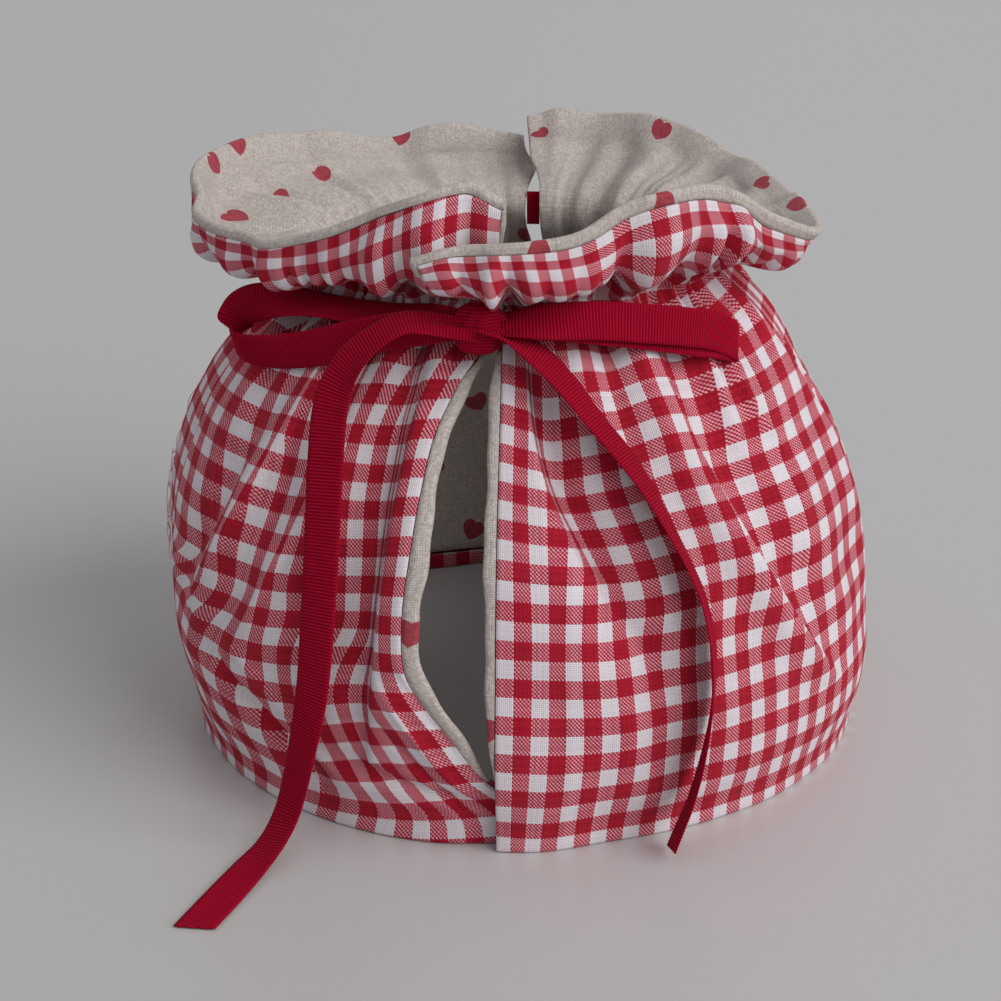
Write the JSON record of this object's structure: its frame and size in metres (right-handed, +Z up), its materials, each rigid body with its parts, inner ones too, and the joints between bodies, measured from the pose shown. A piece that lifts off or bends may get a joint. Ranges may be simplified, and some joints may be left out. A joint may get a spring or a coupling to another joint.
{
  "type": "tea cosy",
  "caption": "Drawstring tea cosy in red and white gingham with a heart-print lining, slit front and back, gathered under a frill and tied with a dark red ribbon bow.",
  "frame": {"origin": "centre of the bounding box's footprint, at the level of the hem's resting face", "axes": "+Z up, -Y to the front where the handle slit and the ribbon bow are, +Y to the spout slit behind, +X to the cosy's right-hand half as seen from the front"},
  "size_m": [0.2028, 0.239, 0.167],
  "materials": {
    "gingham_right": "matte woven cotton check",
    "gingham_left": "matte woven cotton check",
    "lining_right": "matte linen-look print",
    "lining_left": "matte linen-look print",
    "ribbon_bow": "ribbed grosgrain",
    "ribbon_back": "ribbed grosgrain"
  },
  "bodies": {
    "root": {"gingham_right": "gingham_right", "gingham_left": "gingham_left", "lining_right": "lining_right", "lining_left": "lining_left", "ribbon_bow": "ribbon_bow", "ribbon_back": "ribbon_back"}
  },
  "joints": []
}
